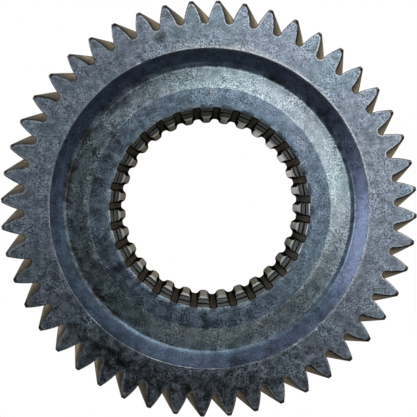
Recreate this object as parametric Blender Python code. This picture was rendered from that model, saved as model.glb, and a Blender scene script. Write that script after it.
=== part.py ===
"""A helical gear with a splined bore: one piece of forged, machined and hardened steel.

Metres, +Z up. The gear lies on its back hub face, with its axis along +Z and its front face up.
Every section of the gear is a ring of points round the axis. The surface is skinned from ring to
ring: down the teeth, in across the back face, up through the bore and out across the front face.
"""

import math

import bpy

# Outer gear teeth: involute, right-hand helix
TEETH = 48
NORMAL_MODULE = 0.00375
PRESSURE_ANGLE = math.radians(20.0)
HELIX_ANGLE = math.radians(17.0)
TIP_RADIUS = 0.0994
ROOT_RADIUS = 0.0886
ROOT_FILLET = 0.00168
TOOTH_SHARE = 0.519  # of the pitch that the tooth fills, on the pitch circle
EDGE_CHAMFER = 0.0005
TIP_CHAMFER_RADIUS = 0.0977
FACE_TOOTH_ANGLE = math.radians(5.42)  # a tooth's middle on the front face, from +X

# Heights above the back hub face
HUB_LENGTH = 0.040
RIM_BACK = 0.005
RIM_FRONT = 0.045
HELIX_SLICES = 2

# Turned recesses between rim and hub
RIM_INNER_RADIUS = 0.0760
RIM_CHAMFER = 0.0006
RECESS_DEPTH = 0.008
RECESS_FILLET = 0.003
WALL_DRAFT = math.radians(35.0)
FRONT_HUB_RADIUS = 0.0593
BACK_HUB_RADIUS = 0.062
FILLET_STEPS = 4
TURNED_POINTS = 2 * TEETH

# Bore: straight-sided view of a module 3, 30 degree spline with a wider lead-in at the front
SPLINE_TEETH = 31
SPLINE_ROOT_RADIUS = 0.0488
SPLINE_TIP_RADIUS = 0.0465
SPLINE_PITCH_RADIUS = 0.0465
SPLINE_SPACE = 0.00569  # width of a space on the pitch circle
SPLINE_SLOPE = math.tan(math.radians(30.0))
SPLINE_ANGLE = math.radians(4.9)  # a space's middle, from +X
LEAD_IN_RADIUS = 0.048
LEAD_IN_END_RADIUS = 0.0474
LEAD_IN_DEPTH = 0.0186
LEAD_IN_BEVEL = 0.0014
GROOVE_RADIUS = 0.0486
GROOVE_DEPTH = 0.0070
GROOVE_WIDTH = 0.003
GROOVE_WALL = 0.0002
BORE_CHAMFER = 0.0007

PITCH_RADIUS = TEETH * NORMAL_MODULE / math.cos(HELIX_ANGLE) / 2
TRANSVERSE_ANGLE = math.atan(math.tan(PRESSURE_ANGLE) / math.cos(HELIX_ANGLE))
BASE_RADIUS = PITCH_RADIUS * math.cos(TRANSVERSE_ANGLE)
TWIST = math.tan(HELIX_ANGLE) / PITCH_RADIUS  # radians for each metre of height


def clear_scene():
    for item in list(bpy.data.objects):
        bpy.data.objects.remove(item, do_unlink=True)


def involute(angle):
    return math.tan(angle) - angle


def half_tooth(radius):
    """The angle from a tooth's middle to its involute flank."""
    at_pitch = TOOTH_SHARE * math.pi / TEETH
    return at_pitch + involute(TRANSVERSE_ANGLE) - involute(math.acos(BASE_RADIUS / radius))


def space_fillet(turn, radius):
    """A point of the round root, as (radius, angle from the space's middle)."""
    out = ROOT_RADIUS + ROOT_FILLET - radius * math.cos(turn)
    side = radius * math.sin(turn)
    return math.hypot(out, side), math.atan2(side, out)


def half_space(inset, tip_radius):
    """One side of a tooth space, from the root's middle to the tip's corner, as (radius, angle)."""
    fillet = [space_fillet(math.radians(turn), ROOT_FILLET + inset) for turn in (0, 50)]
    flank = []
    for radius in (ROOT_RADIUS + 1.1 * ROOT_FILLET, PITCH_RADIUS, tip_radius):
        widened = math.pi / TEETH - half_tooth(radius) + inset / radius / math.cos(PRESSURE_ANGLE)
        flank.append((radius, widened))
    return fillet + flank


def tooth_ring(height, inset=0.0, tip_radius=TIP_RADIUS):
    """The outline of all the teeth at one height, turned by the helix."""
    side = half_space(inset, tip_radius)
    space = [(radius, -angle) for radius, angle in reversed(side[1:])] + side
    start = FACE_TOOTH_ANGLE + math.pi / TEETH + TWIST * (height - RIM_FRONT)
    ring = []
    for tooth in range(TEETH):
        middle = start + tooth * math.tau / TEETH
        ring += [on_circle(radius, middle + angle, height) for radius, angle in space]
    return ring


def on_circle(radius, angle, height):
    return radius * math.cos(angle), radius * math.sin(angle), height


def circle(radius, height, phase):
    """A turned ring with two points for each gear tooth: one under it and one under its space."""
    steps = range(TURNED_POINTS)
    return [on_circle(radius, phase + step * math.tau / TURNED_POINTS, height) for step in steps]


def recess_profile(hub_radius, hub_rise):
    """The recess from the rim's edge to the hub's, as (radius, depth below the rim's face).

    hub_rise is how far the hub face lies beyond the rim face, negative where it is sunk.
    """
    middle_depth = RECESS_DEPTH - RECESS_FILLET
    wall_depth = middle_depth + RECESS_FILLET * math.sin(WALL_DRAFT)
    wall_foot = RIM_INNER_RADIUS - (wall_depth - RIM_CHAMFER) * math.tan(WALL_DRAFT)
    middle = wall_foot - RECESS_FILLET * math.cos(WALL_DRAFT)
    across = middle - hub_radius
    down = middle_depth + hub_rise
    to_hub = math.atan2(down, across)
    cone = to_hub + math.asin(RECESS_FILLET / math.hypot(down, across))
    first = math.pi / 2 - WALL_DRAFT
    profile = [(RIM_INNER_RADIUS + RIM_CHAMFER, 0.0), (RIM_INNER_RADIUS, RIM_CHAMFER)]
    for step in range(FILLET_STEPS + 1):
        turn = first - (first + cone) * step / FILLET_STEPS
        out = RECESS_FILLET * math.sin(turn)
        profile.append((middle + out, middle_depth + RECESS_FILLET * math.cos(turn)))
    return profile + [(hub_radius, -hub_rise)]


def spline_ring(height, land_radius, relief=0.0):
    """The bore's outline at one height: 31 spaces to the root, with lands at land_radius."""
    ring = []
    for space in range(SPLINE_TEETH):
        middle = SPLINE_ANGLE + space * math.tau / SPLINE_TEETH
        for radius, side in (
            (land_radius, -1),
            (SPLINE_ROOT_RADIUS + relief, -1),
            (SPLINE_ROOT_RADIUS + relief, 1),
            (land_radius, 1),
        ):
            half = SPLINE_SPACE / 2 - (radius - SPLINE_PITCH_RADIUS) * SPLINE_SLOPE + relief
            ring.append(on_circle(radius, middle + side * half / radius, height))
    return ring


def bore_rings():
    """The bore from the front hub face down to the back one."""
    groove_top = HUB_LENGTH - GROOVE_DEPTH
    groove_foot = groove_top - GROOVE_WIDTH
    bevel_top = HUB_LENGTH - LEAD_IN_DEPTH
    heights = [
        (HUB_LENGTH, LEAD_IN_RADIUS + BORE_CHAMFER, BORE_CHAMFER),
        (HUB_LENGTH - BORE_CHAMFER, LEAD_IN_RADIUS, 0.0),
        (groove_top, LEAD_IN_RADIUS, 0.0),
        (groove_top - GROOVE_WALL, GROOVE_RADIUS, 0.0),
        (groove_foot + GROOVE_WALL, GROOVE_RADIUS, 0.0),
        (groove_foot, LEAD_IN_RADIUS, 0.0),
        (bevel_top, LEAD_IN_END_RADIUS, 0.0),
        (bevel_top - LEAD_IN_BEVEL, SPLINE_TIP_RADIUS, 0.0),
        (BORE_CHAMFER, SPLINE_TIP_RADIUS, 0.0),
        (0.0, SPLINE_TIP_RADIUS + BORE_CHAMFER, BORE_CHAMFER),
    ]
    return [spline_ring(height, land, relief) for height, land, relief in heights]


def rim_rings():
    """The toothed rim from the front face down to the back one."""
    top = RIM_FRONT - EDGE_CHAMFER
    foot = RIM_BACK + EDGE_CHAMFER
    rings = [tooth_ring(RIM_FRONT, EDGE_CHAMFER, TIP_CHAMFER_RADIUS)]
    for step in range(HELIX_SLICES + 1):
        rings.append(tooth_ring(top + (foot - top) * step / HELIX_SLICES))
    return rings + [tooth_ring(RIM_BACK, EDGE_CHAMFER, TIP_CHAMFER_RADIUS)]


def all_rings():
    """Every ring of the section, in order round it, ending where it started."""
    front = recess_profile(FRONT_HUB_RADIUS, HUB_LENGTH - RIM_FRONT)
    back = recess_profile(BACK_HUB_RADIUS, RIM_BACK)
    back_phase = FACE_TOOTH_ANGLE + TWIST * (RIM_BACK - RIM_FRONT)
    rings = [circle(radius, RIM_FRONT - depth, FACE_TOOTH_ANGLE) for radius, depth in reversed(front)]
    rings += rim_rings()
    rings += [circle(radius, RIM_BACK + depth, back_phase) for radius, depth in back]
    return rings + list(reversed(bore_rings()))


def angle_of(point):
    return math.atan2(point[1], point[0])


def sorted_ring(points, ring, start):
    """The ring's points as (angle past start, index), once round and closed."""
    order = sorted(((angle_of(points[index]) - start) % math.tau, index) for index in ring)
    return order + [(order[0][0] + math.tau, order[0][1])]


def strip(points, ring_a, ring_b):
    """Faces between two rings: quads where they match point for point, else triangles by angle."""
    if len(ring_a) == len(ring_b):
        pairs = zip(ring_a, ring_b, ring_a[1:] + ring_a[:1], ring_b[1:] + ring_b[:1])
        return [(a, b, next_b, next_a) for a, b, next_a, next_b in pairs]
    start = angle_of(points[ring_a[0]])
    side_a = sorted_ring(points, ring_a, start)
    side_b = sorted_ring(points, ring_b, start)
    faces = []
    at_a = at_b = 0
    while at_a < len(ring_a) or at_b < len(ring_b):
        a, b = side_a[at_a][1], side_b[at_b][1]
        a_is_next = at_b == len(ring_b)
        if at_a < len(ring_a) and not a_is_next:
            a_is_next = side_a[at_a + 1][0] <= side_b[at_b + 1][0]
        if a_is_next:
            at_a += 1
            faces.append((a, b, side_a[at_a][1]))
        else:
            at_b += 1
            faces.append((a, b, side_b[at_b][1]))
    return faces


def gear_mesh():
    points, indexed = [], []
    for ring in all_rings():
        indexed.append(list(range(len(points), len(points) + len(ring))))
        points += ring
    faces = []
    for ring_a, ring_b in zip(indexed, indexed[1:] + indexed[:1]):
        faces += strip(points, ring_a, ring_b)
    mesh = bpy.data.meshes.new("helical_gear")
    mesh.from_pydata(points, [], faces)
    mesh.validate()
    mesh.shade_smooth()
    mesh.set_sharp_from_angle(angle=math.radians(25.0))
    return mesh


def steel():
    material = bpy.data.materials.new("gear_steel")
    material.use_nodes = True
    shader = material.node_tree.nodes["Principled BSDF"]
    shader.inputs["Base Color"].default_value = (0.20, 0.22, 0.25, 1.0)
    shader.inputs["Metallic"].default_value = 0.9
    shader.inputs["Roughness"].default_value = 0.45
    return material


def main():
    clear_scene()
    mesh = gear_mesh()
    mesh.materials.append(steel())
    gear = bpy.data.objects.new("helical_gear", mesh)
    bpy.context.scene.collection.objects.link(gear)


main()
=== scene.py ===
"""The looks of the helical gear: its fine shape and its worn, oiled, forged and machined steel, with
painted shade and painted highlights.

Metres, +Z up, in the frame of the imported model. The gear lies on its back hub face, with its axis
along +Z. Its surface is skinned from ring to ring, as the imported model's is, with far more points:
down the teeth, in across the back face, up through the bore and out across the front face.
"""

import math
from collections import namedtuple

import bpy
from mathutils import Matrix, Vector, noise


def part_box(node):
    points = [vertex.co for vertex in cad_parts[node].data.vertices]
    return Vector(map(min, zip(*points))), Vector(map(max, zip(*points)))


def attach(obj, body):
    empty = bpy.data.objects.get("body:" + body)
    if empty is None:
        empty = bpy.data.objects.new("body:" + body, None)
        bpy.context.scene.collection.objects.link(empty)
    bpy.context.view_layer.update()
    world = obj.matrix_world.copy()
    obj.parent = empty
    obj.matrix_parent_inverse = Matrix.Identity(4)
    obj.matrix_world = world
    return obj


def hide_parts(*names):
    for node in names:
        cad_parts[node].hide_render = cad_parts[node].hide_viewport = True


NODE = "helical_gear"

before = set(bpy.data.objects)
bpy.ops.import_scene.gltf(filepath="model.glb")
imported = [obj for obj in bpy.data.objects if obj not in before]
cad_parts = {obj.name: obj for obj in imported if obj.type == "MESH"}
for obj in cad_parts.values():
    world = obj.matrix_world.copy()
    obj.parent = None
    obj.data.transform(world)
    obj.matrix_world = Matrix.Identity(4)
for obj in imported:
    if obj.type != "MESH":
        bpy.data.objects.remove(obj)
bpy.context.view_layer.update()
cad_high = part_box(NODE)[1]

# Outer gear teeth: involute, right-hand helix
TEETH = 48
NORMAL_MODULE = 0.00375
PRESSURE_ANGLE = math.radians(20.0)
HELIX_ANGLE = math.radians(17.0)
TIP_RADIUS = 0.0994
ROOT_RADIUS = 0.0886
ROOT_FILLET = 0.00168
TOOTH_SHARE = 0.519  # of the pitch that the tooth fills, on the pitch circle
EDGE_CHAMFER = 0.0005
TIP_CHAMFER_RADIUS = 0.0977
FACE_TOOTH_ANGLE = math.radians(5.42)  # a tooth's middle on the front face, from +X
TIP_CORNER = 0.0003  # how far the rounded corner of a tip reaches along its sides
FACE_CORNER = 0.0011  # the same, at the rim faces
ROOT_TURNS = (0, 15, 30, 45, 60, 72)  # degrees round the root fillet
FLANK_STEPS = 4
CORNER_STEPS = 4
HELIX_SLICES = 14

# Heights above the back hub face
HUB_LENGTH = 0.040
RIM_BACK = 0.005
RIM_FRONT = cad_high.z

# Turned recesses between rim and hub
RIM_INNER_RADIUS = 0.0762
RIM_CHAMFER = 0.0004
RECESS_DEPTH = 0.008
RECESS_FILLET = 0.003
WALL_DRAFT = math.radians(35.0)
FRONT_HUB_RADIUS = 0.0593
BACK_HUB_RADIUS = 0.062
HUB_EDGE = 0.0007  # how far the rounded edge of a hub reaches along its sides
BORE_MARGIN = 0.0512  # the innermost turned ring of a hub face
TURNED_POINTS = 9 * TEETH
WALL_STEPS = 6
FILLET_STEPS = 8
CONE_STEPS = 7
HUB_EDGE_STEPS = 4

# Bore: a 30 degree spline with a wider lead-in at the front
SPLINE_TEETH = 31
SPLINE_ROOT_RADIUS = 0.0488
SPLINE_TIP_RADIUS = 0.0465
SPLINE_PITCH_RADIUS = 0.0465
SPLINE_SPACE = 0.00569  # width of a space on the pitch circle
SPLINE_SLOPE = math.tan(math.radians(30.0))
SPLINE_ANGLE = math.radians(4.9)  # a space's middle, from +X
SLOT_CORNER = 0.0011
LAND_CORNER = 0.0010
CORNER_SHARE = 0.45  # of a slot's depth that a corner may take up
SLOT_CORNER_STEPS = 3
LAND_CORNER_STEPS = 2
LEAD_IN_RADIUS = 0.048
LEAD_IN_END_RADIUS = 0.0474
LEAD_IN_DEPTH = 0.0186
LEAD_IN_BEVEL = 0.0014
UNDERCUT_RADIUS = 0.0479  # a relief at the end of the lead-in
UNDERCUT_WIDTH = 0.0036
GROOVE_RADIUS = 0.04875
GROOVE_DEPTH = 0.0058
GROOVE_WIDTH = 0.0050
BORE_CHAMFER = 0.0007
BORE_STEP = 0.00012  # height of the short slope at each step in the bore

PITCH_RADIUS = TEETH * NORMAL_MODULE / math.cos(HELIX_ANGLE) / 2
TRANSVERSE_ANGLE = math.atan(math.tan(PRESSURE_ANGLE) / math.cos(HELIX_ANGLE))
BASE_RADIUS = PITCH_RADIUS * math.cos(TRANSVERSE_ANGLE)
TWIST = math.tan(HELIX_ANGLE) / PITCH_RADIUS  # radians for each metre of height

# Camera: above the front face, a little off the axis
LENS_MM = 47.1
SENSOR_MM = 36.0
CLIP_START = 0.01
CAMERA_PLACE = (-0.0040, 0.0059, RIM_FRONT + 0.260)
CAMERA_TILT = (math.radians(0.333), math.radians(-1.072), 0.0)
CAMERA_SHIFT = (-0.0086, -0.0381)


# ---------------------------------------------------------------- outlines


def on_circle(radius, angle, height):
    return radius * math.cos(angle), radius * math.sin(angle), height


def rounded(start, corner, end, steps):
    """The points of a rounded corner, from start to end, as pairs."""
    points = []
    for step in range(steps + 1):
        t = step / steps
        near, between, far = (1 - t) ** 2, 2 * t * (1 - t), t * t
        trios = zip(start, corner, end)
        points.append(tuple(near * a + between * b + far * c for a, b, c in trios))
    return points


def mirrored(side):
    """A whole space from its half, as (radius, angle): from middle to middle of its neighbours."""
    return [(radius, -angle) for radius, angle in reversed(side[1:])] + side[:-1]


def involute(angle):
    return math.tan(angle) - angle


def half_tooth(radius):
    """The angle from a tooth's middle to its involute flank."""
    at_pitch = TOOTH_SHARE * math.pi / TEETH
    return at_pitch + involute(TRANSVERSE_ANGLE) - involute(math.acos(BASE_RADIUS / radius))


def space_side(radius, inset):
    """The angle from a tooth space's middle to its flank, moved into the tooth by inset."""
    return math.pi / TEETH - half_tooth(radius) + inset / radius / math.cos(PRESSURE_ANGLE)


def space_fillet(turn, radius):
    """A point of the round root, as (radius, angle from the space's middle)."""
    out = ROOT_RADIUS + ROOT_FILLET - radius * math.cos(turn)
    side = radius * math.sin(turn)
    return math.hypot(out, side), math.atan2(side, out)


def half_space(inset, tip_radius, corner):
    """One side of a tooth space, from the root's middle to the next tooth's middle."""
    side = [space_fillet(math.radians(turn), ROOT_FILLET + inset) for turn in ROOT_TURNS]
    first = ROOT_RADIUS + ROOT_FILLET
    last = tip_radius - corner
    for step in range(FLANK_STEPS):
        radius = first + (last - first) * step / FLANK_STEPS
        side.append((radius, space_side(radius, inset)))
    tip_angle = space_side(tip_radius, inset)
    flank_end = (last, space_side(last, inset))
    land_start = (tip_radius, tip_angle + corner / tip_radius)
    side += rounded(flank_end, (tip_radius, tip_angle), land_start, CORNER_STEPS)
    side = [(radius, min(angle, math.pi / TEETH)) for radius, angle in side]
    return side + [(tip_radius, math.pi / TEETH)]


def tooth_ring(height, inset=0.0, tip_radius=TIP_RADIUS, corner=TIP_CORNER):
    """The outline of all the teeth at one height, turned by the helix."""
    space = mirrored(half_space(inset, tip_radius, corner))
    start = FACE_TOOTH_ANGLE + math.pi / TEETH + TWIST * (height - RIM_FRONT)
    ring = []
    for tooth in range(TEETH):
        middle = start + tooth * math.tau / TEETH
        ring += [on_circle(radius, middle + angle, height) for radius, angle in space]
    return ring


def slot_half(radius, relief):
    """Half the width of a spline space at a radius, widened by relief."""
    return SPLINE_SPACE / 2 - (radius - SPLINE_PITCH_RADIUS) * SPLINE_SLOPE + relief


def half_slot(land_radius, relief):
    """One side of a spline space, from the root's middle to the middle of the land."""
    root = SPLINE_ROOT_RADIUS + relief
    reach = CORNER_SHARE * (root - land_radius)
    low = min(SLOT_CORNER, reach)
    high = min(LAND_CORNER, reach)
    root_half = slot_half(root, relief)
    land_half = slot_half(land_radius, relief)
    side = [(root, 0.0)]
    corner = (root, root_half / root)
    wall = (root - low, slot_half(root - low, relief) / (root - low))
    side += rounded((root, (root_half - low) / root), corner, wall, SLOT_CORNER_STEPS)
    corner = (land_radius, land_half / land_radius)
    wall = (land_radius + high, slot_half(land_radius + high, relief) / (land_radius + high))
    land = (land_radius, (land_half + high) / land_radius)
    side += rounded(wall, corner, land, LAND_CORNER_STEPS)
    return side + [(land_radius, math.pi / SPLINE_TEETH)]


def spline_ring(height, land_radius, relief=0.0):
    """The bore's outline at one height."""
    space = mirrored(half_slot(land_radius, relief))
    ring = []
    for number in range(SPLINE_TEETH):
        middle = SPLINE_ANGLE + number * math.tau / SPLINE_TEETH
        ring += [on_circle(radius, middle + angle, height) for radius, angle in space]
    return ring


def turned_ring(radius, height, phase):
    """A plain circle, as the lathe makes it."""
    steps = range(TURNED_POINTS)
    return [on_circle(radius, phase + step * math.tau / TURNED_POINTS, height) for step in steps]


# ---------------------------------------------------------------- sections
# A section is a list of (ring, zone, wear). The zone names the surface from this ring to the next.
# Wear is how far the ring's edge is rubbed bright, from 0 to 1.

# Rings of the rim face next to the recess: (distance out from its edge, wear)
FACE_RINGS = ((0.0078, 0.0), (0.0054, 0.0), (0.0032, 0.0), (0.0020, 0.0), (0.0010, 0.0), (0.0003, 0.15))
# The wear of each ring round the recess's rounded edge
RIM_EDGE_WEAR = (0.25, 0.3, 0.15, 0.0, 0.0)
# Rings over the chamfer of the teeth: (further inset than the chamfer's, depth, zone, wear)
CHAMFER_RINGS = (
    (0.00070, 0.0, "rim_face", 0.0),
    (0.00025, 0.0, "rim_face", 0.3),
    (0.00004, 0.0, "chamfer", 0.4),
    (-0.00004, 0.00005, "chamfer", 0.12),
    (-0.00025, 0.00023, "chamfer", 0.0),
    (-0.00046, 0.00044, "chamfer", 0.1),
    (-EDGE_CHAMFER, EDGE_CHAMFER + 0.00003, "chamfer", 0.15),
    (-EDGE_CHAMFER, EDGE_CHAMFER + 0.0010, "flank", 0.0),
)


def straight(start, end, steps, zone):
    """Points of a profile that divide the line from start to end, without the two ends."""
    points = []
    for step in range(1, steps):
        t = step / steps
        radius = start[0] + (end[0] - start[0]) * t
        depth = start[1] + (end[1] - start[1]) * t
        points.append((radius, depth, zone, 0.0))
    return points


def rim_edge():
    """The rim face next to the recess and its rounded edge, as (radius, depth, zone, wear)."""
    edge = RIM_INNER_RADIUS + RIM_CHAMFER
    points = [(edge + out, 0.0, "rim_face", wear) for out, wear in FACE_RINGS]
    for step, wear in enumerate(RIM_EDGE_WEAR):
        turn = step / (len(RIM_EDGE_WEAR) - 1) * (math.pi / 2 - WALL_DRAFT)
        radius = edge - RIM_CHAMFER * math.sin(turn) / math.cos(WALL_DRAFT)
        depth = RIM_CHAMFER * (1 - math.cos(turn)) / (1 - math.sin(WALL_DRAFT))
        points.append((radius, depth, "wall", wear))
    return points


def recess_profile(hub_radius, hub_rise):
    """The recess from rim face to hub face, as (radius, depth below the rim face, zone, wear).

    hub_rise is how far the hub face lies beyond the rim face, negative where it is sunk.
    """
    middle_depth = RECESS_DEPTH - RECESS_FILLET
    wall_depth = middle_depth + RECESS_FILLET * math.sin(WALL_DRAFT)
    wall_foot = RIM_INNER_RADIUS - (wall_depth - RIM_CHAMFER) * math.tan(WALL_DRAFT)
    profile = rim_edge()
    profile += straight(profile[-1], (wall_foot, wall_depth), WALL_STEPS, "wall")
    middle = wall_foot - RECESS_FILLET * math.cos(WALL_DRAFT)
    across = middle - hub_radius
    down = middle_depth + hub_rise
    cone = math.atan2(down, across) + math.asin(RECESS_FILLET / math.hypot(down, across))
    first = math.pi / 2 - WALL_DRAFT
    for step in range(FILLET_STEPS + 1):
        turn = first - (first + cone) * step / FILLET_STEPS
        radius = middle + RECESS_FILLET * math.sin(turn)
        depth = middle_depth + RECESS_FILLET * math.cos(turn)
        zone = "fillet" if step < FILLET_STEPS - 2 else "cone"
        profile.append((radius, depth, zone, 0.0))
    foot = profile[-1][:2]
    corner = (hub_radius, -hub_rise)
    share = 1 - HUB_EDGE / math.dist(foot, corner)
    shoulder = (foot[0] + (corner[0] - foot[0]) * share, foot[1] + (corner[1] - foot[1]) * share)
    profile += straight(foot, shoulder, CONE_STEPS, "cone")
    bend = rounded(shoulder, corner, (hub_radius - HUB_EDGE, -hub_rise), HUB_EDGE_STEPS)
    profile += [(radius, depth, "cone", 0.0) for radius, depth in bend[:-1]]
    for radius in (bend[-1][0], hub_radius - 2 * HUB_EDGE, (hub_radius + BORE_MARGIN) / 2, BORE_MARGIN):
        profile.append((radius, -hub_rise, "hub_face", 0.0))
    return profile


def turned_section(profile, base, direction, phase):
    """The rings of a turned profile, at base plus direction times each depth."""
    return [
        (turned_ring(radius, base + direction * depth, phase), zone, wear)
        for radius, depth, zone, wear in profile
    ]


def other_way_round(section, last_zone):
    """The same surface, from its last ring to its first."""
    flipped = list(reversed(section))
    zones = [zone for _, zone, _ in flipped[1:]] + [last_zone]
    return [(ring, zone, wear) for (ring, _, wear), zone in zip(flipped, zones)]


def chamfer_rings(face, inward):
    """The teeth's chamfer from a face down to the full outline; inward is -1 below the front face."""
    rings = []
    for offset, depth, zone, wear in CHAMFER_RINGS:
        inset = max(0.0, EDGE_CHAMFER + offset)
        share = min(1.0, inset / EDGE_CHAMFER)
        tip = TIP_RADIUS - (TIP_RADIUS - TIP_CHAMFER_RADIUS) * share - max(0.0, offset)
        corner = TIP_CORNER + (FACE_CORNER - TIP_CORNER) * share
        rings.append((tooth_ring(face + inward * depth, inset, tip, corner), zone, wear))
    return rings


def rim_section():
    """The toothed rim from the front face down to the back one."""
    front = chamfer_rings(RIM_FRONT, -1)
    back = other_way_round(chamfer_rings(RIM_BACK, 1), "rim_face")
    top = front[-1][0][0][2]
    foot = back[0][0][0][2]
    middle = []
    for step in range(1, HELIX_SLICES):
        middle.append((tooth_ring(top + (foot - top) * step / HELIX_SLICES), "flank", 0.0))
    return front + middle + back


def bore_section():
    """The bore from the front hub face down to the back one."""
    groove_top = HUB_LENGTH - GROOVE_DEPTH
    groove_foot = groove_top - GROOVE_WIDTH
    bevel_top = HUB_LENGTH - LEAD_IN_DEPTH
    undercut_top = bevel_top + UNDERCUT_WIDTH
    bevel_foot = bevel_top - LEAD_IN_BEVEL
    edge = BORE_CHAMFER
    rows = [  # height, radius of the lands, relief, zone, wear
        (HUB_LENGTH, LEAD_IN_RADIUS + 1.2 * edge, 0.7 * edge, "bore_edge", 0.1),
        (HUB_LENGTH - 0.1 * edge, LEAD_IN_RADIUS + edge, 0.6 * edge, "bore_edge", 0.25),
        (HUB_LENGTH - 0.3 * edge, LEAD_IN_RADIUS + 0.75 * edge, 0.4 * edge, "bore_edge", 0.1),
        (HUB_LENGTH - edge, LEAD_IN_RADIUS + 0.1 * edge, 0.0, "lead_in", 0.0),
        (HUB_LENGTH - 1.4 * edge, LEAD_IN_RADIUS, 0.0, "lead_in", 0.0),
        (groove_top + BORE_STEP, LEAD_IN_RADIUS, 0.0, "shaded_groove", 0.0),
        (groove_top, LEAD_IN_RADIUS + BORE_STEP, 0.0, "shaded_groove", 0.0),
        (groove_top - BORE_STEP, GROOVE_RADIUS, 0.0, "shaded_groove", 0.0),
        (groove_foot + BORE_STEP, GROOVE_RADIUS, 0.0, "shaded_groove", 0.0),
        (groove_foot, LEAD_IN_RADIUS + BORE_STEP, 0.0, "lead_in", 0.1),
        (groove_foot - BORE_STEP, LEAD_IN_RADIUS, 0.0, "lead_in", 0.1),
        (groove_foot - 6 * BORE_STEP, LEAD_IN_RADIUS, 0.0, "lead_in", 0.0),
        (undercut_top, LEAD_IN_END_RADIUS, 0.0, "shaded_undercut", 0.0),
        (undercut_top - 4 * BORE_STEP, UNDERCUT_RADIUS, 0.0, "shaded_undercut", 0.0),
        (bevel_top + BORE_STEP, UNDERCUT_RADIUS, 0.0, "shaded_undercut", 0.0),
        (bevel_top, LEAD_IN_END_RADIUS, 0.0, "bevel", 0.3),
        (bevel_foot + BORE_STEP, SPLINE_TIP_RADIUS + BORE_STEP, 0.0, "bevel", 0.3),
        (bevel_foot - BORE_STEP, SPLINE_TIP_RADIUS, 0.0, "land", 0.1),
        (bevel_foot - 10 * BORE_STEP, SPLINE_TIP_RADIUS, 0.0, "land", 0.0),
        (2 * edge, SPLINE_TIP_RADIUS, 0.0, "land", 0.0),
        (edge, SPLINE_TIP_RADIUS + 0.1 * edge, 0.0, "bore_edge", 0.2),
        (0.2 * edge, SPLINE_TIP_RADIUS + 0.8 * edge, 0.4 * edge, "bore_edge", 0.4),
        (0.0, SPLINE_TIP_RADIUS + 1.2 * edge, 0.6 * edge, "hub_face", 0.1),
    ]
    return [(spline_ring(height, land, relief), zone, wear) for height, land, relief, zone, wear in rows]


def whole_section():
    """Every ring, in order round the gear's section."""
    front = recess_profile(FRONT_HUB_RADIUS, HUB_LENGTH - RIM_FRONT)
    back = recess_profile(BACK_HUB_RADIUS, RIM_BACK)
    back_phase = FACE_TOOTH_ANGLE + TWIST * (RIM_BACK - RIM_FRONT)
    section = other_way_round(turned_section(front, RIM_FRONT, -1, FACE_TOOTH_ANGLE), "rim_face")
    section += rim_section()
    section += turned_section(back, RIM_BACK, 1, back_phase)
    return section + other_way_round(bore_section(), "hub_face")


# ---------------------------------------------------------------- mesh

ZONES = (
    "rim_face", "chamfer", "shaded_chamfer", "flank", "tip", "wall", "fillet", "cone", "hub_face",
    "bore_edge", "lead_in", "shaded_groove", "shaded_undercut", "bevel", "land", "shaded_slot_side", "slot",
)
# Quads round one tooth space and one spline space
TOOTH_UNIT = 2 * (len(ROOT_TURNS) + FLANK_STEPS + CORNER_STEPS + 1)
SLOT_UNIT = 2 * (SLOT_CORNER_STEPS + LAND_CORNER_STEPS + 3)
LAND_QUADS = 2  # from a land's middle to its corner
SLOT_SIDE_QUADS = 6  # from a land's middle to the slot's root
SHADED_QUADS = 5  # before the middle of a tooth space, where its shaded chamfer starts
SHARP_ANGLE = math.radians(38.0)


def quad_zone(zone, index, count):
    """The zone of one quad of a strip: tips, the two sides of a tooth and spline slots differ."""
    if count == TEETH * TOOTH_UNIT:
        place = index % TOOTH_UNIT
        if zone == "flank" and place in (0, TOOTH_UNIT - 1):
            return "tip"
        if zone == "chamfer" and place >= TOOTH_UNIT / 2 - SHADED_QUADS:
            return "shaded_chamfer"
    if count == SPLINE_TEETH * SLOT_UNIT and zone != "hub_face":
        place = index % SLOT_UNIT
        from_land = min(place, SLOT_UNIT - 1 - place)
        if from_land >= LAND_QUADS:
            return "slot" if from_land >= SLOT_SIDE_QUADS and zone != "bore_edge" else "shaded_slot_side"
    return zone


def angle_of(point):
    return math.atan2(point[1], point[0])


def sorted_ring(points, ring, start):
    """The ring's points as (angle past start, index), once round and closed."""
    order = sorted(((angle_of(points[index]) - start) % math.tau, index) for index in ring)
    return order + [(order[0][0] + math.tau, order[0][1])]


def zipped(points, ring_a, ring_b):
    """Triangles between two rings with different numbers of points, by angle."""
    start = angle_of(points[ring_a[0]])
    side_a = sorted_ring(points, ring_a, start)
    side_b = sorted_ring(points, ring_b, start)
    faces = []
    at_a = at_b = 0
    while at_a < len(ring_a) or at_b < len(ring_b):
        a, b = side_a[at_a][1], side_b[at_b][1]
        a_is_next = at_b == len(ring_b)
        if at_a < len(ring_a) and not a_is_next:
            a_is_next = side_a[at_a + 1][0] <= side_b[at_b + 1][0]
        if a_is_next:
            at_a += 1
            faces.append((a, b, side_a[at_a][1]))
        else:
            at_b += 1
            faces.append((a, b, side_b[at_b][1]))
    return faces


def strip(points, ring_a, ring_b, zone):
    """(face, zone) for each face between two rings."""
    if len(ring_a) != len(ring_b):
        return [(face, zone) for face in zipped(points, ring_a, ring_b)]
    count = len(ring_a)
    faces = []
    for index in range(count):
        after = (index + 1) % count
        face = (ring_a[index], ring_b[index], ring_b[after], ring_a[after])
        faces.append((face, quad_zone(zone, index, count)))
    return faces


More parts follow.
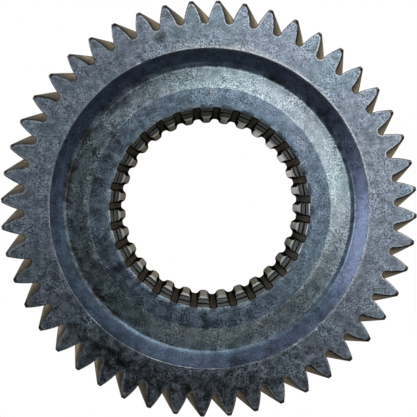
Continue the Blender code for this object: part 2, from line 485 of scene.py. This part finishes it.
# Small damage at edges: (degrees, radius, height, reach, how far the steel is pushed in)
DINGS = (
    (115.0, 0.0766, RIM_FRONT, 0.0013, 0.0006),
    (303.0, 0.0765, RIM_FRONT, 0.0012, 0.0004),
    (312.0, 0.0763, RIM_FRONT, 0.0014, 0.0005),
    (321.0, 0.0766, RIM_FRONT, 0.0010, 0.0003),
    (196.0, 0.0762, RIM_FRONT, 0.0014, 0.0003),
    (64.0, 0.0588, HUB_LENGTH, 0.0011, 0.0002),
    (248.0, 0.0590, HUB_LENGTH, 0.0012, 0.0003),
)
FORGED_ZONES = ("wall", "fillet", "cone")
FORGED_SWELL = 0.00010
FORGED_SIZE = 0.007
FORGED_OCTAVES = 3

# Oil and dust, with painted shade and painted highlights among them: (degrees, radius, half length round
# in degrees, half width, amount), oil and painted shade are positive, dust and painted highlights are
# negative
SOIL_AND_LIGHT_BLOTCHES = (
    # painted shade and painted reflection in the bore: the lead-in and lands darker from 45 to 200
    # degrees, the lands brighter at 60 and 275 degrees
    (45, 0.0478, 60.0, 0.0008, 0.5),
    (155, 0.0466, 45.0, 0.0009, 0.5),
    (200, 0.0472, 22.0, 0.0005, 0.5),
    (60, 0.0465, 30.0, 0.0009, -0.6),
    (275, 0.0465, 11.0, 0.0009, -1.0),
    # darker along the top and left of the fillet and on the hub face; the last row is a painted
    # highlight along the lower fillet
    (60, 0.0700, 50.0, 0.0016, 0.4),
    (140, 0.0695, 40.0, 0.0034, 0.42),
    (172, 0.0700, 32.0, 0.0024, 0.62),
    (160, 0.0555, 60.0, 0.0050, 0.45),
    (105, 0.0645, 25.0, 0.0040, 0.28),
    (200, 0.0640, 30.0, 0.0040, -0.16),
    (268, 0.0697, 35.0, 0.0022, -0.18),
    # painted highlights along the rim's rounded edge
    (315, 0.0766, 30.0, 0.0005, -0.5),
    (50, 0.0768, 60.0, 0.0006, -0.9),
    (28, 0.070, 2.5, 0.0015, 0.45),
    (39, 0.073, 2.5, 0.0030, 0.5),
    (63, 0.0705, 4.0, 0.0015, 0.4),
    (85, 0.0800, 2.0, 0.0022, 0.6),
    (106, 0.0840, 2.0, 0.0040, 0.8),
    (120, 0.0860, 5.0, 0.0040, 0.3),
    (128, 0.0850, 8.0, 0.0060, 0.2),
    (144, 0.0560, 5.0, 0.0050, 0.5),
    (155, 0.0610, 3.0, 0.0060, 0.5),
    (166, 0.0580, 4.0, 0.0040, 0.5),
    (157, 0.0520, 2.5, 0.0030, 0.5),
    (196, 0.0695, 20.0, 0.0024, 0.35),
    (208, 0.0700, 9.0, 0.0026, 0.6),
    (224, 0.0700, 8.0, 0.0018, 0.7),
    (185, 0.0620, 6.0, 0.0040, 0.2),
    (200, 0.0530, 9.0, 0.0030, 0.5),
    (218, 0.0680, 5.0, 0.0030, 0.5),
    (226, 0.0650, 5.0, 0.0050, 0.5),
    (217, 0.0570, 7.0, 0.0030, 0.6),
    (213, 0.0520, 3.0, 0.0030, 0.6),
    (238, 0.0670, 4.0, 0.0020, 0.6),
    (256, 0.0565, 2.6, 0.0020, 0.7),
    (267, 0.0570, 2.6, 0.0022, 0.7),
    (270, 0.0665, 5.0, 0.0018, 0.5),
    (287, 0.0660, 4.0, 0.0018, 0.5),
    (280, 0.0750, 5.0, 0.0030, 0.5),
    (293, 0.0750, 4.0, 0.0035, 0.6),
    # painted shade: the rim face darker towards its lower left
    (202, 0.0830, 10.0, 0.0090, 0.25),
    (233, 0.0840, 10.0, 0.0080, 0.6),
    (250, 0.0880, 18.0, 0.0120, 0.68),
    (275, 0.0870, 16.0, 0.0100, 0.65),
    (290, 0.0880, 9.0, 0.0060, 0.3),
    # painted glints along the lower fillet
    (302, 0.0680, 1.2, 0.0008, -1.2),
    (308, 0.0676, 1.0, 0.0006, -0.8),
    (314, 0.0678, 2.0, 0.0007, -1.2),
    (324, 0.0678, 1.3, 0.0008, -1.2),
    (333, 0.0680, 1.5, 0.0007, -1.0),
    (341, 0.0682, 1.5, 0.0007, -0.8),
    (89, 0.0570, 3.0, 0.0030, -0.7),
    (97, 0.0575, 3.0, 0.0035, -0.4),
    (35, 0.0560, 6.0, 0.0015, -0.5),
    (48, 0.0585, 6.0, 0.0012, -0.4),
    (122, 0.0640, 6.0, 0.0030, -0.4),
    (145, 0.0660, 3.0, 0.0020, -0.3),
    (331, 0.0595, 4.0, 0.0025, -0.4),
    # painted highlights beside the rim's edge at the top
    (80, 0.0785, 14.0, 0.0014, -0.5),
    (98, 0.0785, 6.0, 0.0014, -0.4),
    (325, 0.0600, 15.0, 0.0030, -0.2),
)
BLOTCH_CUT = 4.0  # the squared distance, in half sizes, at which a blotch ends


def soil_and_light_at(point):
    """How much oil and painted shade (above 0), or dust and painted highlight (below 0), a point of the
    front face or the bore has.
    """
    radius = math.hypot(point.x, point.y)
    angle = math.degrees(math.atan2(point.y, point.x))
    in_bore = radius < SPLINE_ROOT_RADIUS + BORE_CHAMFER and point.z > BORE_CHAMFER
    if point.z < RIM_FRONT - RECESS_DEPTH - RIM_CHAMFER and not in_bore:
        return 0.0
    total = 0.0
    for middle, middle_radius, reach, width, amount in SOIL_AND_LIGHT_BLOTCHES:
        turn = ((angle - middle + 180) % 360 - 180) / reach
        out = (radius - middle_radius) / width
        away = turn * turn + out * out
        if away < BLOTCH_CUT:
            total += amount * math.exp(-away)
    return total


def in_spline_space(point):
    """Whether a point lies deep between the spline's teeth, where nothing rubs."""
    radius = math.hypot(point.x, point.y)
    deep = LEAD_IN_RADIUS + 2 * BORE_STEP < radius < SPLINE_ROOT_RADIUS + BORE_CHAMFER
    return deep and BORE_CHAMFER < point.z < HUB_LENGTH - BORE_CHAMFER


def dinged(point):
    """The point after the small knocks that the edges have taken."""
    for degrees, radius, height, reach, push in DINGS:
        centre = Vector(on_circle(radius, math.radians(degrees), height))
        away = (point - centre).length / reach
        if away < 1:
            point = point + Vector((0, 0, -push * (1 - away * away) ** 2))
    return point


def forged(point):
    """The point on the slightly uneven skin that forging leaves."""
    swell = noise.fractal(
        point / FORGED_SIZE, 1.0, 2.0, FORGED_OCTAVES, noise_basis="PERLIN_ORIGINAL"
    )
    outward = Vector((point.x, point.y, 0)).normalized()
    return point + FORGED_SWELL * swell * (outward + Vector((0, 0, 1)))


def gear_mesh():
    """The whole gear as one mesh, with one material for each zone."""
    section = whole_section()
    points, rings, wear = [], [], []
    for number, (ring, zone, rubbed) in enumerate(section):
        rings.append(range(len(points), len(points) + len(ring)))
        moved = [dinged(Vector(point)) for point in ring]
        if zone in FORGED_ZONES and section[number - 1][1] in FORGED_ZONES:
            moved = [forged(point) for point in moved]
        points += moved
        wear += [0.0 if in_spline_space(point) else rubbed for point in moved]
    faces = []  # (point numbers, zone)
    for number, ring in enumerate(rings):
        after = rings[(number + 1) % len(rings)]
        faces += strip(points, list(ring), list(after), section[number][1])
    mesh = bpy.data.meshes.new(NODE)
    mesh.from_pydata(points, [], [face for face, _ in faces])
    mesh.polygons.foreach_set("material_index", [ZONES.index(zone) for _, zone in faces])
    add_attributes(mesh, points, wear)
    mesh.shade_smooth()
    mesh.set_sharp_from_angle(angle=SHARP_ANGLE)
    return mesh


def add_attributes(mesh, points, wear):
    """How bright each point is rubbed, and how much oil, dust, painted shade and painted highlight it
    has.
    """
    rubbed = mesh.attributes.new("wear", "FLOAT", "POINT")
    rubbed.data.foreach_set("value", wear)
    soil_and_light = mesh.attributes.new("soil_and_light", "FLOAT", "POINT")
    soil_and_light.data.foreach_set("value", [soil_and_light_at(point) for point in points])


# ---------------------------------------------------------------- materials


class Nodes:
    """A short way to write one material's node tree."""

    def __init__(self, name):
        self.material = bpy.data.materials.new(name)
        self.material.use_nodes = True
        self.tree = self.material.node_tree
        self.shader = self.tree.nodes["Principled BSDF"]

    def add(self, kind, inputs, **settings):
        """A new node with these settings, and with values or links on its inputs."""
        made = self.tree.nodes.new(kind)
        for name, value in settings.items():
            setattr(made, name, value)
        for key, value in inputs.items():
            self.give(made.inputs[key], value)
        return made

    def give(self, socket, value):
        """Links a socket to another one, or sets it to a plain value."""
        if isinstance(value, bpy.types.NodeSocket):
            self.tree.links.new(value, socket)
        else:
            socket.default_value = value

    def attribute(self, name, output):
        return self.add("ShaderNodeAttribute", {}, attribute_name=name).outputs[output]

    def stretched(self, vector, scale):
        """Coordinates scaled along each axis; a scale under 1 draws a texture out."""
        return self.add("ShaderNodeMapping", {"Vector": vector, "Scale": scale}).outputs[0]

    def noise(self, vector, size, detail=4.0, roughness=0.6, distortion=0.0):
        """Smooth noise from about 0.2 to 0.8, with features of that size in metres."""
        inputs = {
            "Vector": vector,
            "Scale": 1 / size,
            "Detail": detail,
            "Roughness": roughness,
            "Distortion": distortion,
        }
        return self.add("ShaderNodeTexNoise", inputs).outputs[0]

    def between(self, value, low, high, to_low=0.0, to_high=1.0):
        """A smooth step from to_low, where value is low, to to_high, where it is high."""
        inputs = {0: value, 1: low, 2: high, 3: to_low, 4: to_high}
        return self.add("ShaderNodeMapRange", inputs, interpolation_type="SMOOTHSTEP").outputs[0]

    def math(self, operation, a, b):
        return self.add("ShaderNodeMath", {0: a, 1: b}, operation=operation).outputs[0]

    def plus(self, a, b):
        return self.math("ADD", a, b)

    def times(self, a, b):
        return self.math("MULTIPLY", a, b)

    def grey(self, value):
        return self.add("ShaderNodeCombineColor", {0: value, 1: value, 2: value}).outputs[0]

    def blend(self, factor, a, b, blend_type="MIX"):
        made = self.add("ShaderNodeMix", {0: factor}, data_type="RGBA", blend_type=blend_type)
        self.give(made.inputs[6], a)
        self.give(made.inputs[7], b)
        return made.outputs[2]

    def tinted(self, colour, by):
        """One colour times another."""
        return self.blend(1.0, colour, by, "MULTIPLY")


def tone(red, green, blue):
    """An opaque colour, in linear light."""
    return (red, green, blue, 1.0)


WHITE = tone(1.0, 1.0, 1.0)
BRIGHT_STEEL = tone(0.72, 0.76, 0.80)
# dust and scratches, and painted highlights and glints on the rim's edge, the fillet and the spline
# lands
DUST_AND_HIGHLIGHT = tone(0.72, 0.76, 0.80)
PURPLE_FILM = tone(1.035, 0.99, 1.01)
GREEN_FILM = tone(0.965, 1.01, 0.99)
OLIVE_FILM = tone(0.92, 0.98, 0.84)
PINK_FILM = tone(1.06, 0.96, 0.93)
# oil, and painted shade on the rim face, fillet and bore
OIL_AND_SHADE = tone(0.034, 0.029, 0.026)
SOOT = tone(0.015, 0.016, 0.018)

# How a zone looks: its darker and lighter steel, the stain on it and how much of that there is,
# its roughness, how much of it is bare metal, and how strong its grain is
Look = namedtuple("Look", "dark light stain stained roughness metal grainy")
LOOKS = {
    "rim_face": Look(
        tone(0.167, 0.209, 0.257), tone(0.32, 0.387, 0.468), tone(0.099, 0.117, 0.131),
        stained=0.28, roughness=0.37, metal=0.92, grainy=1.5,
    ),
    "chamfer": Look(
        tone(0.07, 0.075, 0.08), tone(0.17, 0.18, 0.19), tone(0.05, 0.045, 0.04),
        stained=0.3, roughness=0.38, metal=0.92, grainy=0.5,
    ),
    "shaded_chamfer": Look(
        tone(0.014, 0.012, 0.010), tone(0.04, 0.034, 0.028), tone(0.01, 0.008, 0.007),
        stained=0.3, roughness=0.7, metal=0.0, grainy=0.3,
    ),
    "flank": Look(
        tone(0.15, 0.137, 0.118), tone(0.55, 0.50, 0.425), tone(0.12, 0.105, 0.085),
        stained=0.25, roughness=0.38, metal=0.85, grainy=0.3,
    ),
    "tip": Look(
        tone(0.11, 0.105, 0.095), tone(0.30, 0.285, 0.26), tone(0.06, 0.055, 0.045),
        stained=0.30, roughness=0.38, metal=0.90, grainy=0.3,
    ),
    "wall": Look(
        tone(0.100, 0.127, 0.187), tone(0.160, 0.203, 0.295), tone(0.06, 0.073, 0.10),
        stained=0.12, roughness=0.38, metal=0.90, grainy=0.9,
    ),
    "fillet": Look(
        tone(0.112, 0.155, 0.206), tone(0.232, 0.318, 0.413), tone(0.043, 0.0559, 0.0688),
        stained=0.25, roughness=0.36, metal=0.90, grainy=0.9,
    ),
    "cone": Look(
        tone(0.265, 0.338, 0.395), tone(0.475, 0.580, 0.635), tone(0.16, 0.195, 0.225),
        stained=0.18, roughness=0.36, metal=0.90, grainy=1.6,
    ),
    "hub_face": Look(
        tone(0.131, 0.18, 0.239), tone(0.257, 0.347, 0.45), tone(0.0675, 0.09, 0.113),
        stained=0.25, roughness=0.36, metal=0.92, grainy=1.6,
    ),
    "bore_edge": Look(
        tone(0.12, 0.14, 0.14), tone(0.25, 0.27, 0.27), tone(0.05, 0.055, 0.05),
        stained=0.3, roughness=0.36, metal=0.94, grainy=0.3,
    ),
    "lead_in": Look(
        tone(0.08, 0.09, 0.09), tone(0.26, 0.285, 0.285), tone(0.035, 0.04, 0.04),
        stained=0.3, roughness=0.55, metal=0.25, grainy=0.2,
    ),
    # painted shade: the shallow groove is near black
    "shaded_groove": Look(
        tone(0.004, 0.004, 0.004), tone(0.008, 0.008, 0.008), tone(0.003, 0.003, 0.003),
        stained=0.4, roughness=0.9, metal=0.0, grainy=0.2,
    ),
    # painted shade: the relief at the end of the lead-in is near black
    "shaded_undercut": Look(
        tone(0.006, 0.006, 0.007), tone(0.015, 0.016, 0.017), tone(0.005, 0.005, 0.005),
        stained=0.3, roughness=0.8, metal=0.0, grainy=0.2,
    ),
    "bevel": Look(
        tone(0.86, 0.87, 0.88), tone(0.95, 0.95, 0.95), tone(0.6, 0.58, 0.5),
        stained=0.1, roughness=0.40, metal=0.2, grainy=0.1,
    ),
    "land": Look(
        tone(0.33, 0.33, 0.30), tone(0.52, 0.52, 0.48), tone(0.20, 0.19, 0.17),
        stained=0.2, roughness=0.30, metal=0.45, grainy=0.2,
    ),
    # painted shade: the sides of the spline slots are near black
    "shaded_slot_side": Look(
        tone(0.006, 0.005, 0.004), tone(0.014, 0.012, 0.010), tone(0.004, 0.003, 0.003),
        stained=0.3, roughness=0.9, metal=0.0, grainy=0.2,
    ),
    "slot": Look(
        tone(0.055, 0.048, 0.038), tone(0.12, 0.105, 0.085), tone(0.03, 0.026, 0.02),
        stained=0.3, roughness=0.7, metal=0.0, grainy=0.2,
    ),
}
# Streaks: how far each axis is squeezed, and their width
STREAKED = {
    "flank": ((1.0, 1.0, 0.25), 0.0040),
    "tip": ((1.0, 1.0, 0.25), 0.0040),
    "lead_in": ((0.12, 0.12, 1.0), 0.0009),
    "land": ((1.0, 1.0, 0.06), 0.0009),
    "slot": ((1.0, 1.0, 0.06), 0.0009),
    "bevel": ((0.2, 0.2, 1.0), 0.0009),
}
STREAK_SHARE = 0.8
TURNED_LAY = {"rim_face": 0.00045, "hub_face": 0.00030}  # the pitch of the lathe's lines
LAY_DEPTH = 0.35
SCRATCHED = ("rim_face", "hub_face", "cone")
SCRATCH_TURNS = (0.5, 2.3)  # the ways that scratches run, in radians
SCRATCH_GAP = 0.0110
SCRATCH_SQUEEZE = (1.0, 0.25, 0.2)

# Sizes of the noises, in metres
TINT_SIZE = 0.0300
TOOTH_FILM_SIZE = 0.0220
STAIN_SIZE = 0.0150
PATCH_SIZE = 0.0120
MOTTLE_SIZE = 0.0045
SPECK_SIZE = 0.0020
GRAIN_SIZE = 0.0008

# How a noise or a mask takes effect: (its low value, its high value, result at low, result at high)
MOTTLE_EFFECT = (0.34, 0.66, 0.0, 1.0)
HUE_EFFECT = (0.40, 0.60, 0.0, 1.0)
FILM_HUE_EFFECT = (0.85, 1.15, 0.0, 1.0)
FILM_DEPTH_EFFECT = (0.38, 0.62, 0.62, 1.15)
PATCH_EFFECT = (0.38, 0.62, 0.35, 1.0)
OIL_AND_SHADE_SOAK_EFFECT = (0.55, 0.95, 1.2, 0.6)
OIL_AND_SHADE_EFFECT = (0.0, 1.1, 0.0, 1.0)
DUST_AND_HIGHLIGHT_GRAIN_EFFECT = (0.4, 0.6, 0.4, 1.4)
DUST_AND_HIGHLIGHT_EFFECT = (-1.0, 0.0, 1.0, 0.0)
SPECK_EFFECT = (0.70, 0.75, 0.0, 0.8)
FLANK_SHADE_EFFECT = (RIM_FRONT - 0.015, RIM_FRONT - 0.002, 1.15, 0.14)
WEAR_GRAIN_EFFECT = (0.35, 0.60, 0.3, 1.3)
WEAR_STAIN_EFFECT = (0.40, 0.60, 0.3, 2.2)
SCRATCH_EFFECT = (0.0, 0.012, 0.32, 0.0)
SCRATCH_BREAK_EFFECT = (0.54, 0.60, 0.0, 1.0)

# Stains start at a lower noise value where a zone has more of them
STAIN_START = 0.62
STAIN_SPREAD = 0.20
STAIN_FADE = 0.16
STAIN_DEPTH = 0.6
# Grain darkens and lightens the steel by these amounts, times how grainy the zone is
GRAIN_SPAN = (0.32, 0.68)
GRAIN_DARKENS = 0.50
GRAIN_LIGHTENS = 0.75
GRAIN_FLOOR = 0.1
OIL_AND_SHADE_GRAIN_SHARE = 0.5  # how much the grain counts in where oil and painted shade soak in
# Roughness follows mottle and grain in equal shares, and worn edges are smoother
ROUGH_SHARE = 0.25
ROUGH_SPAN = (0.18, 0.32)
SMOOTHER = 0.08
ROUGHER = 0.10
WORN_SMOOTHER = 0.12
# Zones with less metal than this have no gloss
LEAST_GLOSSY_METAL = 0.3
GLOSS = 0.5
# Relief
BUMP_STRENGTH = 0.35
BUMP_DEPTH = 0.00012
MOTTLE_HEIGHT = 1.5  # against the grain's

Noises = namedtuple("Noises", "mottle grain stain tint speck")


def make_noises(nodes, place):
    """The noises that the finish of every zone is made from."""
    return Noises(
        mottle=nodes.noise(place, MOTTLE_SIZE, detail=6.0, roughness=0.62),
        grain=nodes.noise(place, GRAIN_SIZE, detail=2.0, roughness=0.8),
        stain=nodes.noise(place, STAIN_SIZE, detail=5.0, roughness=0.62, distortion=0.6),
        tint=nodes.noise(place, TINT_SIZE, detail=2.0),
        speck=nodes.noise(place, SPECK_SIZE, detail=2.0),
    )


def streaks(nodes, place, zone):
    """Noise drawn out into the streaks of one zone."""
    stretch, size = STREAKED[zone]
    return nodes.noise(nodes.stretched(place, stretch), size, detail=3.0, roughness=0.7)


def flank_film(nodes, place, tint):
    """The oil film on the flanks: olive to pink, and darker on some teeth than on others."""
    turn = nodes.plus(streaks(nodes, place, "flank"), tint)
    hue = nodes.blend(nodes.between(turn, *FILM_HUE_EFFECT), OLIVE_FILM, PINK_FILM)
    depth = nodes.between(nodes.noise(place, TOOTH_FILM_SIZE, detail=1.0), *FILM_DEPTH_EFFECT)
    return nodes.tinted(hue, nodes.grey(depth))


def bare_steel(nodes, place, zone, noises):
    """The steel without soil and wear: mottled or streaked, stained and faintly tinted."""
    look = LOOKS[zone]
    mix = noises.mottle
    if zone in STREAKED:
        streak = streaks(nodes, place, zone)
        mix = nodes.plus(nodes.times(mix, 1 - STREAK_SHARE), nodes.times(streak, STREAK_SHARE))
    colour = nodes.blend(nodes.between(mix, *MOTTLE_EFFECT), look.dark, look.light)
    start = STAIN_START - STAIN_SPREAD * look.stained
    stained = nodes.between(noises.stain, start, start + STAIN_FADE, 0.0, STAIN_DEPTH)
    colour = nodes.blend(stained, colour, look.stain)
    hue = nodes.blend(nodes.between(noises.tint, *HUE_EFFECT), PURPLE_FILM, GREEN_FILM)
    return nodes.tinted(colour, hue)


def grained(nodes, place, colour, grain, grainy):
    """The colour with its fine grain, which is patchy."""
    darkest = max(GRAIN_FLOOR, 1.0 - GRAIN_DARKENS * grainy)
    contrast = nodes.between(grain, *GRAIN_SPAN, darkest, 1.0 + GRAIN_LIGHTENS * grainy)
    patchy = nodes.between(nodes.noise(place, PATCH_SIZE, detail=3.0), *PATCH_EFFECT)
    return nodes.blend(patchy, colour, nodes.tinted(colour, nodes.grey(contrast)))


def soiled_and_painted(nodes, colour, noises):
    """The colour under oil and painted shade, dust and painted highlights, and specks of soot."""
    soil_and_light = nodes.attribute("soil_and_light", "Fac")
    uneven = nodes.plus(noises.mottle, nodes.times(noises.grain, OIL_AND_SHADE_GRAIN_SHARE))
    oil_and_shade_soak = nodes.between(uneven, *OIL_AND_SHADE_SOAK_EFFECT)
    colour = nodes.blend(nodes.between(nodes.times(soil_and_light, oil_and_shade_soak), *OIL_AND_SHADE_EFFECT), colour, OIL_AND_SHADE)
    dust_and_highlight_breakup = nodes.between(noises.grain, *DUST_AND_HIGHLIGHT_GRAIN_EFFECT)
    colour = nodes.blend(nodes.between(nodes.times(soil_and_light, dust_and_highlight_breakup), *DUST_AND_HIGHLIGHT_EFFECT), colour, DUST_AND_HIGHLIGHT)
    return nodes.blend(nodes.between(noises.speck, *SPECK_EFFECT), colour, SOOT)


def worn_bright(nodes, noises):
    """How bright a point is rubbed, broken up by grain and stains."""
    fine = nodes.between(noises.grain, *WEAR_GRAIN_EFFECT)
    broad = nodes.between(noises.stain, *WEAR_STAIN_EFFECT)
    return nodes.times(nodes.attribute("wear", "Fac"), nodes.times(fine, broad))


def scratches(nodes, place, turn, mask):
    """Fine broken scratches that run one way: the edges of long thin cells."""
    turned = nodes.add("ShaderNodeMapping", {"Vector": place, "Rotation": (0.0, 0.0, turn)})
    inputs = {"Vector": nodes.stretched(turned.outputs[0], SCRATCH_SQUEEZE), "Scale": 1 / SCRATCH_GAP}
    cells = nodes.add("ShaderNodeTexVoronoi", inputs, feature="DISTANCE_TO_EDGE")
    line = nodes.between(cells.outputs[0], *SCRATCH_EFFECT)
    return nodes.times(line, nodes.between(mask, *SCRATCH_BREAK_EFFECT))


def surface_tone(nodes, place, zone, noises, worn):
    """The colour of one zone: steel, its film, grain, soil with painted shade and painted highlights,
    painted shade on the flanks, scratches and worn edges.
    """
    colour = bare_steel(nodes, place, zone, noises)
    if zone == "flank":
        colour = nodes.tinted(colour, flank_film(nodes, place, noises.tint))
    colour = grained(nodes, place, colour, noises.grain, LOOKS[zone].grainy)
    colour = soiled_and_painted(nodes, colour, noises)
    if zone == "flank":
        height = nodes.add("ShaderNodeSeparateXYZ", {0: place}).outputs[2]
        colour = nodes.tinted(colour, nodes.grey(nodes.between(height, *FLANK_SHADE_EFFECT)))
    if zone in SCRATCHED:
        for turn in SCRATCH_TURNS:
            colour = nodes.blend(scratches(nodes, place, turn, noises.mottle), colour, DUST_AND_HIGHLIGHT)
    return nodes.blend(worn, colour, BRIGHT_STEEL)


def turned_lines(nodes, place, pitch):
    """Faint rings left by the lathe tool, from the distance to the gear's axis."""
    flat = nodes.stretched(place, (1.0, 1.0, 0.0))
    reach = nodes.add("ShaderNodeVectorMath", {0: flat}, operation="LENGTH").outputs[1]
    inputs = {"W": reach, "Scale": 1 / pitch, "Detail": 2.0}
    lines = nodes.add("ShaderNodeTexNoise", inputs, noise_dimensions="1D")
    return nodes.times(lines.outputs[0], LAY_DEPTH)


def steel(zone):
    """The steel of one zone."""
    look = LOOKS[zone]
    nodes = Nodes("steel_" + zone)
    inputs = nodes.shader.inputs
    place = nodes.add("ShaderNodeTexCoord", {}).outputs["Object"]
    noises = make_noises(nodes, place)
    worn = worn_bright(nodes, noises)
    nodes.give(inputs["Base Color"], surface_tone(nodes, place, zone, noises, worn))
    inputs["Metallic"].default_value = look.metal
    inputs["Specular IOR Level"].default_value = GLOSS if look.metal > LEAST_GLOSSY_METAL else 0.0
    uneven = nodes.plus(nodes.times(noises.mottle, ROUGH_SHARE), nodes.times(noises.grain, ROUGH_SHARE))
    rough = nodes.between(uneven, *ROUGH_SPAN, look.roughness - SMOOTHER, look.roughness + ROUGHER)
    rough = nodes.math("SUBTRACT", rough, nodes.times(worn, WORN_SMOOTHER))
    nodes.give(inputs["Roughness"], rough)
    height = nodes.plus(noises.grain, nodes.times(noises.mottle, MOTTLE_HEIGHT))
    if zone in TURNED_LAY:
        height = nodes.plus(height, turned_lines(nodes, place, TURNED_LAY[zone]))
    relief = {"Strength": BUMP_STRENGTH, "Distance": BUMP_DEPTH, "Height": height}
    nodes.give(inputs["Normal"], nodes.add("ShaderNodeBump", relief).outputs[0])
    return nodes.material


# ---------------------------------------------------------------- studio

AMBIENT = 0.008
ROOM_TONE = tone(0.97, 0.985, 1.0)
FLOOR_SIZE = 6.0
FLOOR_BOUNCE = tone(0.80, 0.69, 0.56)
FLOOR_DROP = 0.0002  # below the gear, so that the two never touch
BRIGHT_PATCH = (0.0294, 0.0170, 0.0)  # where a glowing patch on the table stands in for the light that falls on it through the bore
PATCH_REACH = 0.042
PATCH_STRENGTH = 0.9
AIM = (0.0, 0.0, 0.03)
LIGHT_DISTANCE = 1.0
# Soft boxes round the gear: (name, azimuth and elevation in degrees, size, watts, colour)
SOFT_BOXES = (
    ("right_window", 22.0, 36.0, 0.60, 1.50, (1.0, 0.98, 0.94)),
    ("right_upper", 354.0, 52.0, 0.50, 0.70, (1.0, 0.99, 0.97)),
    ("top_window", 74.0, 52.0, 0.60, 1.33, (1.0, 1.0, 0.99)),
    ("top_low", 60.0, 36.0, 0.45, 0.40, (1.0, 0.99, 0.96)),
    ("overhead", 60.0, 68.0, 0.45, 0.55, (0.96, 0.98, 1.0)),
    ("overhead_right", 5.0, 68.0, 0.50, 0.38, (0.96, 0.98, 1.0)),
    ("left_high", 160.0, 66.0, 0.45, 0.26, (0.96, 0.98, 1.0)),
    ("left_low", 170.0, 6.0, 0.60, 8.4, (0.93, 0.95, 1.0)),
    ("back_left_low", 117.0, 20.0, 0.70, 1.03, (0.95, 0.97, 1.0)),
    ("back_low", 80.0, 6.0, 0.45, 1.0, (0.95, 0.97, 1.0)),
    ("front_fill", 275.0, 36.0, 0.80, 0.36, (1.0, 0.97, 0.92)),
)


def make_world():
    """A dim even room, pale where it is seen."""
    world = bpy.data.worlds.new("room")
    bpy.context.scene.world = world
    world.use_nodes = True
    tree = world.node_tree
    light = tree.nodes["Background"]
    light.inputs["Color"].default_value = ROOM_TONE
    light.inputs["Strength"].default_value = AMBIENT
    seen = tree.nodes.new("ShaderNodeBackground")
    seen.inputs["Color"].default_value = WHITE
    ray = tree.nodes.new("ShaderNodeLightPath")
    choice = tree.nodes.new("ShaderNodeMixShader")
    tree.links.new(ray.outputs["Is Camera Ray"], choice.inputs[0])
    tree.links.new(light.outputs[0], choice.inputs[1])
    tree.links.new(seen.outputs[0], choice.inputs[2])
    tree.links.new(choice.outputs[0], tree.nodes["World Output"].inputs["Surface"])


def make_light(name, azimuth, elevation, size, watts, colour):
    """A square soft box, aimed at the gear."""
    data = bpy.data.lights.new(name, "AREA")
    data.size = size
    data.energy = watts
    data.color = colour
    light = bpy.data.objects.new(name, data)
    across = LIGHT_DISTANCE * math.cos(math.radians(elevation))
    height = LIGHT_DISTANCE * math.sin(math.radians(elevation))
    light.location = on_circle(across, math.radians(azimuth), height)
    light.rotation_euler = (Vector(AIM) - light.location).to_track_quat("-Z", "Y").to_euler()
    bpy.context.scene.collection.objects.link(light)


def make_floor():
    """A plain table: seen as pale as a light table, but it throws only a dim warm light on the gear, and
    a glowing patch under the bore stands in for light on the table there.
    """
    mesh = bpy.data.meshes.new("floor")
    half = FLOOR_SIZE / 2
    corners = [(-half, -half, 0), (half, -half, 0), (half, half, 0), (-half, half, 0)]
    mesh.from_pydata(corners, [], [(0, 1, 2, 3)])
    nodes = Nodes("pale_table")
    diffuse = nodes.add("ShaderNodeBsdfDiffuse", {"Color": FLOOR_BOUNCE}).outputs[0]
    place = nodes.add("ShaderNodeTexCoord", {}).outputs["Object"]
    ends = {0: place, 1: BRIGHT_PATCH}
    away = nodes.add("ShaderNodeVectorMath", ends, operation="DISTANCE").outputs[1]
    strength = nodes.between(away, 0.0, PATCH_REACH, PATCH_STRENGTH, 0.0)
    patch = nodes.add("ShaderNodeEmission", {"Color": WHITE, "Strength": strength}).outputs[0]
    bounced = nodes.add("ShaderNodeAddShader", {0: diffuse, 1: patch}).outputs[0]
    seen = nodes.add("ShaderNodeEmission", {"Color": WHITE, "Strength": 1.0}).outputs[0]
    ray = nodes.add("ShaderNodeLightPath", {}).outputs["Is Camera Ray"]
    mixed = nodes.add("ShaderNodeMixShader", {0: ray, 1: bounced, 2: seen}).outputs[0]
    nodes.give(nodes.tree.nodes["Material Output"].inputs["Surface"], mixed)
    mesh.materials.append(nodes.material)
    floor = bpy.data.objects.new("floor", mesh)
    floor.location.z = -FLOOR_DROP
    bpy.context.scene.collection.objects.link(floor)


def make_camera():
    """The camera above the front face, made the scene's own."""
    data = bpy.data.cameras.new("camera")
    data.sensor_width = SENSOR_MM
    data.lens = LENS_MM
    data.shift_x, data.shift_y = CAMERA_SHIFT
    data.clip_start = CLIP_START
    camera = bpy.data.objects.new("camera", data)
    camera.location = CAMERA_PLACE
    camera.rotation_euler = CAMERA_TILT
    bpy.context.scene.collection.objects.link(camera)
    bpy.context.scene.camera = camera


def make_gear():
    """The gear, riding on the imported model's only body and shown in place of its only node."""
    mesh = gear_mesh()
    for zone in ZONES:
        mesh.materials.append(steel(zone))
    gear = bpy.data.objects.new("gear_body", mesh)
    bpy.context.scene.collection.objects.link(gear)
    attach(gear, "root")
    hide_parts(NODE)


make_camera()
make_world()
for soft_box in SOFT_BOXES:
    make_light(*soft_box)
make_floor()
make_gear()
bpy.context.scene.view_settings.view_transform = "Standard"
